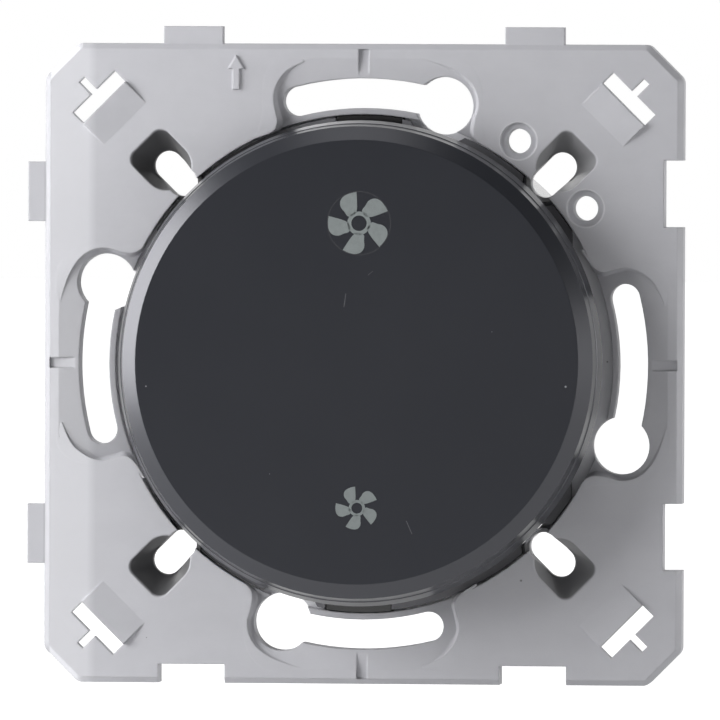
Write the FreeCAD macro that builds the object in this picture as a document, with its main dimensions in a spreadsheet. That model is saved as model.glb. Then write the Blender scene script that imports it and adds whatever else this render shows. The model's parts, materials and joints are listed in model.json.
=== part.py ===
import FreeCAD, Part
import math
import os
import Sketcher

# A flush-mounted fan speed switch. The origin is the centre of the wall plane, +Y goes into
# the wall, +Z is up. Lengths are in millimetres and angles in degrees. Sizes whose name ends
# in proud are measured from the wall plane towards the room, those ending in deep into the wall.
dimensions = {
    "frame_side": 71.0,
    "frame_thickness": 4.0,
    "corner_chamfer": 3.8,
    "corner_rounding": 1.2,
    "edge_bevel": 0.6,
    "opening_radius": 27.7,
    "ledge_thickness": 1.4,
    "hollow_inner": 24.3,
    "hollow_wall": 1.3,
    "hollow_skin": 1.5,
    "hollow_arc_radius": 36.2,
    "slot_radius": 30.03,
    "slot_width": 3.3,
    "slot_end_angle": 14.2,
    "keyhole_angle": 17.3,
    "keyhole_diameter": 6.4,
    "recess_reach": 33.9,
    "recess_slope": 10.8,
    "recess_narrow_margin": 3.5,
    "recess_keyhole_margin": 3.9,
    "recess_flare": 1.6,
    "recess_flare_turn": 60.0,
    "recess_overrun": 5.6,
    "claw_slot_width": 3.25,
    "claw_slot_inner": 28.5,
    "claw_slot_outer": 31.0,
    "claw_boss_wall": 0.5,
    "claw_boss_proud": 3.0,
    "claw_pocket_width": 5.5,
    "claw_pocket_inner": 30.9,
    "claw_pocket_outer": 34.75,
    "claw_pocket_corner": 1.2,
    "claw_pocket_depth": 2.5,
    "claw_pocket_foot": 0.1,
    "claw_pocket_foot_corner": 1.5,
    "clip_bar_place": 41.7,
    "clip_bar_width": 6.6,
    "clip_bar_height": 1.7,
    "clip_stem_width": 0.85,
    "clip_stem_length": 1.9,
    "ramp_length": 3.3,
    "ramp_rise": 0.5,
    "groove_width": 1.15,
    "groove_inner": 31.8,
    "groove_outer": 34.9,
    "groove_depth": 0.35,
    "fixing_hole_place": 30.2,
    "fixing_hole_angle_first": 34.8,
    "fixing_hole_angle_second": 54.9,
    "fixing_hole_diameter": 2.75,
    "fixing_rim_diameter": 4.05,
    "fixing_rim_depth": 0.3,
    "arrow_place": 14.2,
    "arrow_foot": 30.4,
    "arrow_neck": 32.7,
    "arrow_point": 34.2,
    "arrow_shaft_width": 0.75,
    "arrow_head_width": 1.75,
    "arrow_height": 0.25,
    "arrow_root": 0.25,
    "tab_place": 19.0,
    "tab_width": 6.6,
    "tab_reach": 1.9,
    "tab_thickness": 1.6,
    "tab_set_back": 0.5,
    "tab_clearance": 0.4,
    "latch_offset": 0.5,
    "latch_width": 7.2,
    "latch_side_clearance": 0.1,
    "latch_window_clearance": 0.3,
    "latch_seat_depth": 0.5,
    "latch_tip_inner": 25.4,
    "latch_tip_proud": 2.4,
    "latch_shoulder_inner": 23.2,
    "latch_barb": 0.6,
    "latch_barb_thickness": 0.6,
    "latch_root_height": 2.9,
    "latch_notch_clearance": 0.8,
    "flange_gap": 0.25,
    "flange_thickness": 1.3,
    "flange_flat": 23.1,
    "collar_half": 22.4,
    "collar_radius": 26.2,
    "collar_deep": 4.0,
    "collar_wall": 1.6,
    "ledge_clearance": 0.4,
    "keyhole_clearance": 1.0,
    "deck_thickness": 1.7,
    "turret_side": 36.0,
    "turret_rounding": 6.0,
    "turret_proud": 5.6,
    "pivot_proud": 3.5,
    "rest_tilt": 2.5,
    "face_radius": 24.55,
    "face_proud": 12.0,
    "bevel_radius": 26.1,
    "bevel_drop": 1.0,
    "skirt_radius": 26.9,
    "skirt_proud": 7.3,
    "skirt_step": 0.1,
    "skirt_step_proud": 9.3,
    "plate_thickness": 2.0,
    "plate_wall": 1.1,
    "seat_gap": 0.1,
    "cradle_half_width": 15.0,
    "cradle_half_height": 17.0,
    "cradle_thickness": 1.5,
    "cheek_thickness": 1.4,
    "cheek_half_height": 4.0,
    "rib_thickness": 1.2,
    "rib_depth": 3.0,
    "trunnion_radius": 1.5,
    "trunnion_length": 2.6,
    "bearing_clearance": 0.05,
    "cradle_clearance": 0.6,
    "tube_radius": 3.2,
    "tube_bore": 2.1,
    "tube_deep": 3.5,
    "tube_lip": 0.4,
    "plunger_play": 0.15,
    "plunger_tip_radius": 1.2,
    "plunger_nose_radius": 0.5,
    "plunger_nose_length": 0.7,
    "plunger_start_deep": 0.2,
    "plunger_tip_deep": 6.3,
    "spring_mean_radius": 1.4,
    "spring_wire": 0.45,
    "spring_pitch": 2.3,
    "hook_width": 6.0,
    "hook_thickness": 1.2,
    "hook_barb": 0.9,
    "hook_height": 0.45,
    "housing_gap": 0.1,
    "housing_deep": 26.0,
    "housing_floor": 2.0,
    "chamber_wall": 1.2,
    "chamber_front": 9.7,
    "chamber_inner": 8.4,
    "chamber_outer": 15.1,
    "chamber_half": 6.2,
    "clamp_place": 11.5,
    "wire_hole_radius": 1.7,
    "wire_hole_spacing": 3.6,
    "lever_offset": 0.5,
    "lever_width": 3.2,
    "lever_height": 2.2,
    "lever_clearance": 0.15,
    "lever_proud_of_floor": 0.8,
    "lever_collar": 0.6,
    "lever_collar_thickness": 1.3,
    "lever_tip_deep": 17.6,
    "lever_tip_gap": 0.35,
    "hinge_deep": 7.4,
    "blade_tilt": 6.0,
    "blade_thickness": 0.8,
    "blade_half_length": 9.6,
    "blade_width": 6.0,
    "blade_rib_radius": 1.0,
    "contact_place": 8.0,
    "contact_radius": 1.6,
    "contact_thickness": 0.7,
    "contact_gap": 0.03,
    "terminal_thickness": 0.8,
    "terminal_end_deep": 22.5,
    "terminal_wall_gap": 0.1,
    "arm_width": 4.0,
    "arm_reach": 2.0,
    "saddle_half": 1.9,
    "saddle_front": 7.6,
    "saddle_arm_reach": 3.0,
    "saddle_arm_width": 4.8,
    "saddle_clearance": 0.05,
    "spring_leaf": 0.4,
    "spring_leaf_width": 10.4,
    "spring_anchor": 3.3,
    "spring_anchor_end": 22.0,
    "spring_bend_deep": 12.0,
    "spring_tip": 1.9,
    "spring_tip_deep": 20.5,
}

document = FreeCAD.newDocument("FanSpeedSwitch")


class Size:
    """A number together with the expression that binds it to the sheet."""

    def __init__(self, value, text):
        self.value = value
        self.text = text

    def __neg__(self):
        return Size(-self.value, f"(-1 * ({self.text}))")

    def __add__(self, other):
        other = sized(other)
        return Size(self.value + other.value, f"({self.text} + {other.text})")

    def __radd__(self, other):
        return sized(other) + self

    def __sub__(self, other):
        other = sized(other)
        return Size(self.value - other.value, f"({self.text} - {other.text})")

    def __rsub__(self, other):
        return sized(other) - self

    def __mul__(self, other):
        other = sized(other)
        return Size(self.value * other.value, f"{self.text} * {other.text}")

    def __rmul__(self, other):
        return sized(other) * self

    def __truediv__(self, other):
        other = sized(other)
        return Size(self.value / other.value, f"{self.text} / ({other.text})")


def sized(thing):
    """A plain number as a Size, for factors such as the 2 of a half."""
    if isinstance(thing, Size):
        return thing
    return Size(float(thing), f"({float(thing)})")


def sine(angle):
    return Size(math.sin(math.radians(angle.value)), f"sin({angle.text})")


def cosine(angle):
    return Size(math.cos(math.radians(angle.value)), f"cos({angle.text})")


def other_leg(long_side, leg):
    """The second leg of a right triangle, such as how high a circle is at a distance."""
    value = math.sqrt(long_side.value ** 2 - leg.value ** 2)
    return Size(value, f"sqrt(({long_side.text}) ^ 2 - ({leg.text}) ^ 2)")


def hypotenuse(leg, other):
    value = math.hypot(leg.value, other.value)
    return Size(value, f"sqrt(({leg.text}) ^ 2 + ({other.text}) ^ 2)")


def on_circle(radius, angle):
    """The point at an angle clockwise from straight up."""
    return radius * sine(angle), radius * cosine(angle)


class Sheet:
    """The driving dimensions as cells of a spreadsheet, each found by its name."""

    def __init__(self, values):
        sheet = document.addObject("Spreadsheet::Sheet", "Sizes")
        for row, (name, value) in enumerate(values.items(), start=1):
            sheet.set(f"A{row}", name)
            sheet.set(f"B{row}", str(value))
            sheet.setAlias(f"B{row}", name)
            setattr(self, name, Size(value, f"Sizes.{name}"))
        document.recompute()


def bind(thing, name, size):
    """Give a property its value and, where the sheet drives it, its expression."""
    size = sized(size)
    setattr(thing, name, size.value)
    if "Sizes." in size.text:
        thing.setExpression(name, size.text)


def place(thing, name, base, axis, angle):
    """Set a placement and bind each of its numbers."""
    base = [sized(part) for part in base]
    angle = sized(angle)
    middle = FreeCAD.Vector(base[0].value, base[1].value, base[2].value)
    setattr(thing, name, FreeCAD.Placement(middle, FreeCAD.Rotation(axis, angle.value)))
    paths = [f"{name}.Base.x", f"{name}.Base.y", f"{name}.Base.z", f"{name}.Rotation.Angle"]
    for path, size in zip(paths, base + [angle]):
        if "Sizes." in size.text:
            thing.setExpression(path, size.text)


clockwise = FreeCAD.Vector(0, 0, -1)
about_first_axis = FreeCAD.Vector(1, 0, 0)


def point(x, y):
    return FreeCAD.Vector(sized(x).value, sized(y).value, 0)


def fix(drawing, kind, geometry, where, size):
    """Hold one coordinate of a point by its distance from the sketch's origin."""
    size = sized(size)
    number = drawing.addConstraint(Sketcher.Constraint(kind, -1, 1, geometry, where, size.value))
    if "Sizes." in size.text:
        drawing.setExpression(f"Constraints[{number}]", size.text)


def outline(drawing, *corners):
    """A closed outline. A corner is (x, y), and a line leaves it; a corner given as
    (x, y, centre, turn) starts an arc about the centre, counterclockwise for a turn of 1."""
    first = drawing.GeometryCount
    ends = []
    for index, corner in enumerate(corners):
        start = point(corner[0], corner[1])
        after = corners[(index + 1) % len(corners)]
        finish = point(after[0], after[1])
        if len(corner) == 2:
            drawing.addGeometry(Part.LineSegment(start, finish), False)
            ends.append((1, 2))
            continue
        middle = point(*corner[2])
        spokes = [start - middle, finish - middle]
        ends.append((1, 2))
        if corner[3] < 0:
            spokes.reverse()
            ends[-1] = (2, 1)
        angles = [math.atan2(spoke.y, spoke.x) for spoke in spokes]
        if angles[1] <= angles[0]:
            angles[1] += 2 * math.pi
        circle = Part.Circle(middle, FreeCAD.Vector(0, 0, 1), spokes[0].Length)
        drawing.addGeometry(Part.ArcOfCircle(circle, angles[0], angles[1]), False)
    count = len(corners)
    for index in range(count):
        after = (index + 1) % count
        join = (first + index, ends[index][1], first + after, ends[after][0])
        drawing.addConstraint(Sketcher.Constraint("Coincident", *join))
    for index, corner in enumerate(corners):
        fix(drawing, "DistanceX", first + index, ends[index][0], corner[0])
        fix(drawing, "DistanceY", first + index, ends[index][0], corner[1])
        if len(corner) == 4:
            after = corners[(index + 1) % count]
            chord = point(after[0], after[1]) - point(corner[0], corner[1])
            if abs(chord.x) > abs(chord.y):
                fix(drawing, "DistanceY", first + index, 3, corner[2][1])
            else:
                fix(drawing, "DistanceX", first + index, 3, corner[2][0])


def circle(drawing, x, y, radius):
    radius = sized(radius)
    drawing.addGeometry(Part.Circle(point(x, y), FreeCAD.Vector(0, 0, 1), radius.value), False)
    number = drawing.GeometryCount - 1
    fix(drawing, "DistanceX", number, 3, x)
    fix(drawing, "DistanceY", number, 3, y)
    held = drawing.addConstraint(Sketcher.Constraint("Radius", number, radius.value))
    if "Sizes." in radius.text:
        drawing.setExpression(f"Constraints[{held}]", radius.text)


def rectangle(drawing, left, right, low, high):
    outline(drawing, (left, low), (right, low), (right, high), (left, high))


def rounded_rectangle(drawing, left, right, low, high, radius):
    outline(
        drawing,
        (left + radius, low),
        (right - radius, low, (right - radius, low + radius), 1),
        (right, low + radius),
        (right, high - radius, (right - radius, high - radius), 1),
        (right - radius, high),
        (left + radius, high, (left + radius, high - radius), 1),
        (left, high - radius),
        (left, low + radius, (left + radius, low + radius), 1),
    )


def clipped_square(drawing, half, radius):
    """A square whose corners are cut by a circle about the middle."""
    rise = other_leg(radius, half)
    middle = (0, 0)
    outline(
        drawing,
        (-rise, -half),
        (rise, -half, middle, 1),
        (half, -rise),
        (half, rise, middle, 1),
        (rise, half),
        (-rise, half, middle, 1),
        (-half, rise),
        (-half, -rise, middle, 1),
    )


def upright_slot(drawing, low, high, radius):
    """A slot with round ends, its end centres at two heights."""
    outline(
        drawing,
        (radius, low),
        (radius, high, (0, high), 1),
        (-radius, high),
        (-radius, low, (0, low), 1),
    )


pieces = []


class Piece:
    """One physical piece, drawn as a body with features."""

    def __init__(self, label):
        self.label = label
        self.body = document.addObject("PartDesign::Body", label)
        self.body.Label = label
        pieces.append(self)

    def origin_feature(self, role):
        return next(item for item in self.body.Origin.OriginFeatures if item.Role == role)

    def drawing(self, plane="XZ_Plane", base=(0, 0, 0), axis=clockwise, angle=0):
        """A sketch on one of the body's planes. On XZ_Plane the third number of the base is
        the distance in front of the wall plane."""
        sketch = self.body.newObject("Sketcher::SketchObject", f"{self.label}_drawing")
        sketch.AttachmentSupport = [(self.origin_feature(plane), "")]
        sketch.MapMode = "FlatFace"
        place(sketch, "AttachmentOffset", base, axis, angle)
        return sketch

    def feature(self, kind, sketch, length, reverse, symmetric):
        item = self.body.newObject(f"PartDesign::{kind}", f"{self.label}_{kind.lower()}")
        item.Profile = sketch
        if length is None:
            item.Type = 1
        else:
            bind(item, "Length", length)
        item.Reversed = reverse
        item.Midplane = symmetric
        document.recompute()
        return item

    def pad(self, sketch, length, reverse=False, symmetric=False):
        return self.feature("Pad", sketch, length, reverse, symmetric)

    def pocket(self, sketch, length=None, reverse=False, symmetric=False):
        """A cut. On XZ_Plane it goes into the wall, or towards the room with reverse."""
        before = self.body.Shape.Volume
        item = self.feature("Pocket", sketch, length, reverse, symmetric)
        if self.body.Shape.Volume >= before:
            raise RuntimeError(f"{item.Label} cuts nothing")
        return item

    def loft_cut(self, sketch, end):
        """A cut whose straight walls run from one outline to another."""
        before = self.body.Shape.Volume
        item = self.body.newObject("PartDesign::SubtractiveLoft", f"{self.label}_loft")
        item.Profile = sketch
        item.Sections = [end]
        item.Ruled = True
        document.recompute()
        if self.body.Shape.Volume >= before:
            raise RuntimeError(f"{item.Label} cuts nothing")
        return item

    def revolution(self, sketch):
        item = self.body.newObject("PartDesign::Revolution", f"{self.label}_revolution")
        item.Profile = sketch
        item.ReferenceAxis = (sketch, ["V_Axis"])
        item.Angle = 360
        document.recompute()
        return item

    def turned_copies(self, originals, count):
        item = self.body.newObject("PartDesign::PolarPattern", f"{self.label}_copies")
        item.Originals = originals
        item.Axis = (self.origin_feature("Y_Axis"), [""])
        item.Angle = 360
        item.Occurrences = count
        self.body.Tip = item
        document.recompute()
        return item

    def dress(self, kind, wanted, name, size):
        """Round or bevel the edges of the body so far that a test picks."""
        base = self.body.Tip
        names = [f"Edge{n}" for n, edge in enumerate(base.Shape.Edges, start=1) if wanted(edge)]
        item = self.body.newObject(f"PartDesign::{kind}", f"{self.label}_{kind.lower()}")
        item.Base = (base, names)
        bind(item, name, size)
        document.recompute()


def runs_through_wall(edge):
    """True for a straight edge square to the wall plane."""
    box = edge.BoundBox
    return max(box.XLength, box.ZLength) < 1e-6 < box.YLength


def lies_in_plane(proud):
    """A test for edges that lie a given distance in front of the wall plane."""
    def test(edge):
        box = edge.BoundBox
        return abs(box.YMin + proud.value) < 1e-6 and abs(box.YMax + proud.value) < 1e-6
    return test


s = Sheet(dimensions)
half_side = s.frame_side / 2
eighth_turn = 45
collar_inner_half = s.collar_half - s.collar_wall
collar_inner_radius = s.collar_radius - s.collar_wall


def add_gang_features(frame):
    """Tabs on the top and left edges, and on the others the notches that take the
    neighbouring frame's tabs."""
    tab_front = s.frame_thickness - s.tab_set_back
    inside = half_side - s.tab_reach
    for side in (-1, 1):
        low = s.tab_place * side - s.tab_width / 2
        high = s.tab_place * side + s.tab_width / 2
        top = frame.drawing(base=(0, 0, tab_front - s.tab_thickness))
        rectangle(top, low, high, inside, half_side + s.tab_reach)
        frame.pad(top, s.tab_thickness)
        left = frame.drawing(base=(0, 0, tab_front - s.tab_thickness))
        rectangle(left, -half_side - s.tab_reach, -inside, low, high)
        frame.pad(left, s.tab_thickness)
        notch_low = low - s.tab_clearance
        notch_high = high + s.tab_clearance
        notch_floor = inside - s.tab_clearance / 2
        right = frame.drawing(base=(0, 0, s.frame_thickness))
        rectangle(right, notch_floor, half_side + s.tab_reach, notch_low, notch_high)
        frame.pocket(right)
        bottom = frame.drawing(base=(0, 0, s.frame_thickness))
        rectangle(bottom, notch_low, notch_high, -half_side - s.tab_reach, -notch_floor)
        frame.pocket(bottom)


def add_corner_hollow(frame):
    """The hollow behind each corner, which leaves a thin skin with the clip window in it."""
    outer = half_side - s.hollow_wall
    cut = half_side - s.corner_chamfer - s.hollow_wall * (math.sqrt(2) - 1)
    foot = other_leg(s.hollow_arc_radius, s.hollow_inner)
    hollow = frame.drawing()
    outline(
        hollow,
        (s.hollow_inner, foot),
        (s.hollow_inner, outer),
        (cut, outer),
        (outer, cut),
        (outer, s.hollow_inner),
        (foot, s.hollow_inner, (0, 0), 1),
    )
    return frame.pocket(hollow, s.frame_thickness - s.hollow_skin, reverse=True)


def add_clip_window(frame):
    """The T window that takes a cover plate's clip, with the ramp that leads to it."""
    low = s.clip_bar_place - s.clip_bar_height / 2
    high = s.clip_bar_place + s.clip_bar_height / 2
    bar = s.clip_bar_width / 2
    stem = s.clip_stem_width / 2
    sunk = s.frame_thickness - s.hollow_skin / 2
    slope = frame.drawing("YZ_Plane", axis=about_first_axis, angle=eighth_turn)
    outline(
        slope,
        (-sunk, low - s.ramp_length),
        (-sunk, low),
        (-s.frame_thickness - s.ramp_rise, low),
        (-s.frame_thickness, low - s.ramp_length),
    )
    ramp = frame.pad(slope, s.clip_bar_width, symmetric=True)
    tee = frame.drawing(base=(0, 0, s.frame_thickness + s.ramp_rise), angle=eighth_turn)
    outline(
        tee,
        (-bar, low),
        (bar, low),
        (bar, high),
        (stem, high),
        (stem, high + s.clip_stem_length),
        (-stem, high + s.clip_stem_length),
        (-stem, high),
        (-bar, high),
    )
    return [ramp, frame.pocket(tee)]


def draw_claw_pocket(frame, proud, width, outer, corner):
    """The outline of a claw pocket at one level: round at its inner end, with two rounded
    corners at its outer end."""
    drawing = frame.drawing(base=(0, 0, proud), angle=eighth_turn)
    outline(
        drawing,
        (-width, s.claw_pocket_inner, (0, s.claw_pocket_inner), 1),
        (width, s.claw_pocket_inner),
        (width, outer - corner, (width - corner, outer - corner), 1),
        (width - corner, outer),
        (-width + corner, outer, (-width + corner, outer - corner), 1),
        (-width, outer - corner),
    )
    return drawing


def add_claw_slot(frame):
    """The diagonal slot for a fixing claw, in a pocket whose walls slope down to it, with a
    boss at its inner end."""
    radius = s.claw_slot_width / 2
    boss_drawing = frame.drawing(angle=eighth_turn)
    circle(boss_drawing, 0, s.claw_slot_inner, radius + s.claw_boss_wall)
    boss = frame.pad(boss_drawing, s.claw_boss_proud)
    rim = draw_claw_pocket(
        frame,
        s.frame_thickness,
        s.claw_pocket_width / 2,
        s.claw_pocket_outer,
        s.claw_pocket_corner,
    )
    foot = draw_claw_pocket(
        frame,
        s.frame_thickness - s.claw_pocket_depth,
        radius + s.claw_pocket_foot,
        s.claw_slot_outer + radius + s.claw_pocket_foot,
        s.claw_pocket_foot_corner,
    )
    pocket = frame.loft_cut(rim, foot)
    slot = frame.drawing(base=(0, 0, s.frame_thickness), angle=eighth_turn)
    upright_slot(slot, s.claw_slot_inner, s.claw_slot_outer, radius)
    return [boss, pocket, frame.pocket(slot)]


def add_screw_slot(frame):
    """The sloped recess, the arc slot and the keyhole for a wall box screw."""
    slope_share = cosine(s.recess_slope)
    narrow_x, narrow_z = on_circle(s.slot_radius, -s.slot_end_angle)
    key_x, key_z = on_circle(s.slot_radius, s.keyhole_angle)

    def down(height):
        return (height - s.recess_reach) / slope_share

    left = narrow_x - s.recess_narrow_margin
    right = key_x + s.recess_keyhole_margin
    flare = s.recess_flare
    swing = flare - flare * cosine(s.recess_flare_turn)
    left_end = left - swing
    right_end = right + swing
    left_foot = other_leg(s.opening_radius, left_end)
    right_foot = other_leg(s.opening_radius, right_end)
    drop = flare * sine(s.recess_flare_turn)
    inside = s.opening_radius - s.recess_overrun
    recess = frame.drawing(
        base=(0, s.recess_reach, s.frame_thickness), axis=about_first_axis, angle=s.recess_slope
    )
    outline(
        recess,
        (left_end, down(left_foot), (left - flare, down(left_foot + drop)), 1),
        (left, down(left_foot + drop)),
        (left, -s.recess_narrow_margin, (narrow_x, -s.recess_narrow_margin), -1),
        (narrow_x, 0),
        (key_x, 0, (key_x, -s.recess_keyhole_margin), -1),
        (right, -s.recess_keyhole_margin),
        (right, down(right_foot + drop), (right + flare, down(right_foot + drop)), 1),
        (right_end, down(right_foot)),
        (right_end, down(inside)),
        (left_end, down(inside)),
    )
    cut = frame.pocket(recess, s.frame_thickness, reverse=True)
    inner = s.slot_radius - s.slot_width / 2
    outer = s.slot_radius + s.slot_width / 2
    slot = frame.drawing(base=(0, 0, s.frame_thickness))
    outline(
        slot,
        (*on_circle(outer, -s.slot_end_angle), (0, 0), -1),
        (*on_circle(outer, s.keyhole_angle), (key_x, key_z), -1),
        (*on_circle(inner, s.keyhole_angle), (0, 0), 1),
        (*on_circle(inner, -s.slot_end_angle), (narrow_x, narrow_z), -1),
    )
    hole = frame.drawing(base=(0, 0, s.frame_thickness))
    circle(hole, key_x, key_z, s.keyhole_diameter / 2)
    return [cut, frame.pocket(slot), frame.pocket(hole)]


def add_centre_groove(frame):
    groove = frame.drawing(base=(0, 0, s.frame_thickness))
    half = s.groove_width / 2
    rectangle(groove, -half, half, s.groove_inner, s.groove_outer)
    return frame.pocket(groove, s.groove_depth)


def add_fixing_holes(frame):
    for angle in (s.fixing_hole_angle_first, s.fixing_hole_angle_second):
        rim = frame.drawing(base=(0, 0, s.frame_thickness), angle=angle)
        circle(rim, 0, s.fixing_hole_place, s.fixing_rim_diameter / 2)
        frame.pocket(rim, s.fixing_rim_depth)
        hole = frame.drawing(base=(0, 0, s.frame_thickness), angle=angle)
        circle(hole, 0, s.fixing_hole_place, s.fixing_hole_diameter / 2)
        frame.pocket(hole)


def add_arrow(frame):
    """The raised arrow that shows which way up the switch goes."""
    middle = -s.arrow_place
    shaft = s.arrow_shaft_width / 2
    head = s.arrow_head_width / 2
    arrow = frame.drawing(base=(0, 0, s.frame_thickness - s.arrow_root))
    outline(
        arrow,
        (middle - shaft, s.arrow_foot),
        (middle + shaft, s.arrow_foot),
        (middle + shaft, s.arrow_neck),
        (middle + head, s.arrow_neck),
        (middle, s.arrow_point),
        (middle - head, s.arrow_neck),
        (middle - shaft, s.arrow_neck),
    )
    frame.pad(arrow, s.arrow_root + s.arrow_height)


def make_support_frame():
    frame = Piece("support_frame")
    cut = half_side - s.corner_chamfer
    plate = frame.drawing()
    outline(
        plate,
        (-cut, -half_side),
        (cut, -half_side),
        (half_side, -cut),
        (half_side, cut),
        (cut, half_side),
        (-cut, half_side),
        (-half_side, cut),
        (-half_side, -cut),
    )
    frame.pad(plate, s.frame_thickness)
    frame.dress("Fillet", runs_through_wall, "Radius", s.corner_rounding)
    frame.dress("Chamfer", lies_in_plane(s.frame_thickness), "Size", s.edge_bevel)
    add_gang_features(frame)
    opening = frame.drawing(base=(0, 0, s.frame_thickness))
    circle(opening, 0, 0, s.opening_radius)
    frame.pocket(opening, s.frame_thickness - s.ledge_thickness)
    aperture = frame.drawing(base=(0, 0, s.frame_thickness))
    gap = s.ledge_clearance
    clipped_square(aperture, s.collar_half + gap, s.collar_radius + gap)
    frame.pocket(aperture)
    repeated = [add_corner_hollow(frame)]
    repeated += add_clip_window(frame)
    repeated += add_claw_slot(frame)
    repeated += add_screw_slot(frame)
    repeated.append(add_centre_groove(frame))
    frame.turned_copies(repeated, 4)
    side = s.latch_width / 2 + s.latch_window_clearance
    left = s.latch_offset - side
    right = s.latch_offset + side
    window = frame.drawing(base=(0, 0, s.ledge_thickness))
    low = s.latch_tip_inner - s.latch_window_clearance
    rectangle(window, left, right, low, s.opening_radius)
    window_cut = frame.pocket(window)
    seat = frame.drawing(base=(0, 0, s.latch_seat_depth))
    rectangle(seat, left, right, s.collar_half, s.opening_radius)
    frame.turned_copies([window_cut, frame.pocket(seat, s.latch_seat_depth)], 2)
    add_fixing_holes(frame)
    add_arrow(frame)


def make_front_cover():
    """The dark carrier whose flange lies on the frame's ledge and whose turret holds the
    cradle's trunnions."""
    cover = Piece("front_cover")
    flange_radius = s.opening_radius - s.flange_gap
    rise = other_leg(flange_radius, s.flange_flat)
    flange = cover.drawing(base=(0, 0, s.ledge_thickness))
    outline(
        flange,
        (s.flange_flat, -rise),
        (s.flange_flat, rise, (0, 0), 1),
        (-s.flange_flat, rise),
        (-s.flange_flat, -rise, (0, 0), 1),
    )
    cover.pad(flange, s.flange_thickness)
    collar = cover.drawing(base=(0, 0, -s.collar_deep))
    clipped_square(collar, s.collar_half, s.collar_radius)
    cover.pad(collar, s.collar_deep + s.ledge_thickness)
    flange_proud = s.ledge_thickness + s.flange_thickness
    hollow = cover.drawing(base=(0, 0, -s.collar_deep))
    clipped_square(hollow, collar_inner_half, collar_inner_radius)
    cover.pocket(hollow, s.collar_deep + flange_proud - s.deck_thickness, reverse=True)
    turret = cover.drawing(base=(0, 0, flange_proud))
    side = s.turret_side / 2
    rounded_rectangle(turret, -side, side, -side, side, s.turret_rounding)
    cover.pad(turret, s.turret_proud - flange_proud)
    well = cover.drawing(base=(0, 0, s.turret_proud))
    width = s.cradle_half_width + s.cradle_clearance
    height = s.cradle_half_width
    rectangle(well, -width, width, -height, height)
    cover.pocket(well)
    bearing = cover.drawing("YZ_Plane")
    circle(bearing, -s.pivot_proud, 0, s.trunnion_radius + s.bearing_clearance)
    cover.pocket(bearing, s.turret_side, symmetric=True)
    key_x, key_z = on_circle(s.slot_radius, s.keyhole_angle)
    relief = cover.drawing(base=(0, 0, flange_proud))
    circle(relief, key_x, key_z, s.keyhole_diameter / 2 + s.keyhole_clearance)
    half_turn_cut = cover.pocket(relief, s.flange_thickness)
    notch = cover.drawing(base=(0, 0, flange_proud))
    side = s.latch_width / 2 + s.latch_side_clearance
    low = s.latch_tip_inner - s.latch_notch_clearance
    rectangle(notch, s.latch_offset - side, s.latch_offset + side, low, s.opening_radius)
    cover.turned_copies([half_turn_cut, cover.pocket(notch, s.flange_thickness)], 2)
    claw = cover.drawing(base=(0, 0, flange_proud), angle=eighth_turn)
    radius = s.claw_slot_width / 2 + s.claw_boss_wall + s.ledge_clearance
    circle(claw, 0, s.claw_slot_inner, radius)
    cover.turned_copies([cover.pocket(claw, flange_proud)], 4)


def own_depth(deep):
    """A depth into the wall as seen from the rocker's own origin, its pivot."""
    return deep + s.pivot_proud


def tilted_with_rocker(piece):
    """Set a piece of the rocker at its pivot, tilted as it rests with the top pressed in."""
    base = (0, -s.pivot_proud, 0)
    place(piece.body, "Placement", base, FreeCAD.Vector(-1, 0, 0), s.rest_tilt)


def make_finger_plate():
    """The round plate that the finger presses, with its bevelled and stepped skirt."""
    plate = Piece("finger_plate")
    front = own_depth(-s.face_proud)
    bevel_end = front + s.bevel_drop
    step = own_depth(-s.skirt_step_proud)
    foot = own_depth(-s.skirt_proud)
    step_radius = (s.bevel_radius + s.skirt_radius) / 2 - s.skirt_step
    back = front + s.plate_thickness
    section = plate.drawing("XY_Plane")
    outline(
        section,
        (0, front),
        (s.face_radius, front),
        (s.bevel_radius, bevel_end),
        (step_radius, step),
        (step_radius + s.skirt_step, step + s.skirt_step),
        (s.skirt_radius, foot),
        (s.skirt_radius - s.plate_wall, foot),
        (s.face_radius, back),
        (0, back),
    )
    plate.revolution(section)
    edge = s.cradle_half_height + s.seat_gap
    barb = back + s.seat_gap + s.cradle_thickness + s.seat_gap
    for side in (-1, 1):
        hook = plate.drawing("YZ_Plane")
        outline(
            hook,
            (back - s.plate_wall, edge * side),
            (back - s.plate_wall, (edge + s.hook_thickness) * side),
            (barb + s.hook_height, (edge + s.hook_thickness) * side),
            (barb + s.hook_height, edge * side),
            (barb, (edge - s.hook_barb) * side),
            (barb, edge * side),
        )
        plate.pad(hook, s.hook_width, symmetric=True)
    tilted_with_rocker(plate)


def cradle_back():
    return own_depth(-s.face_proud) + s.plate_thickness + s.seat_gap + s.cradle_thickness


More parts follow.
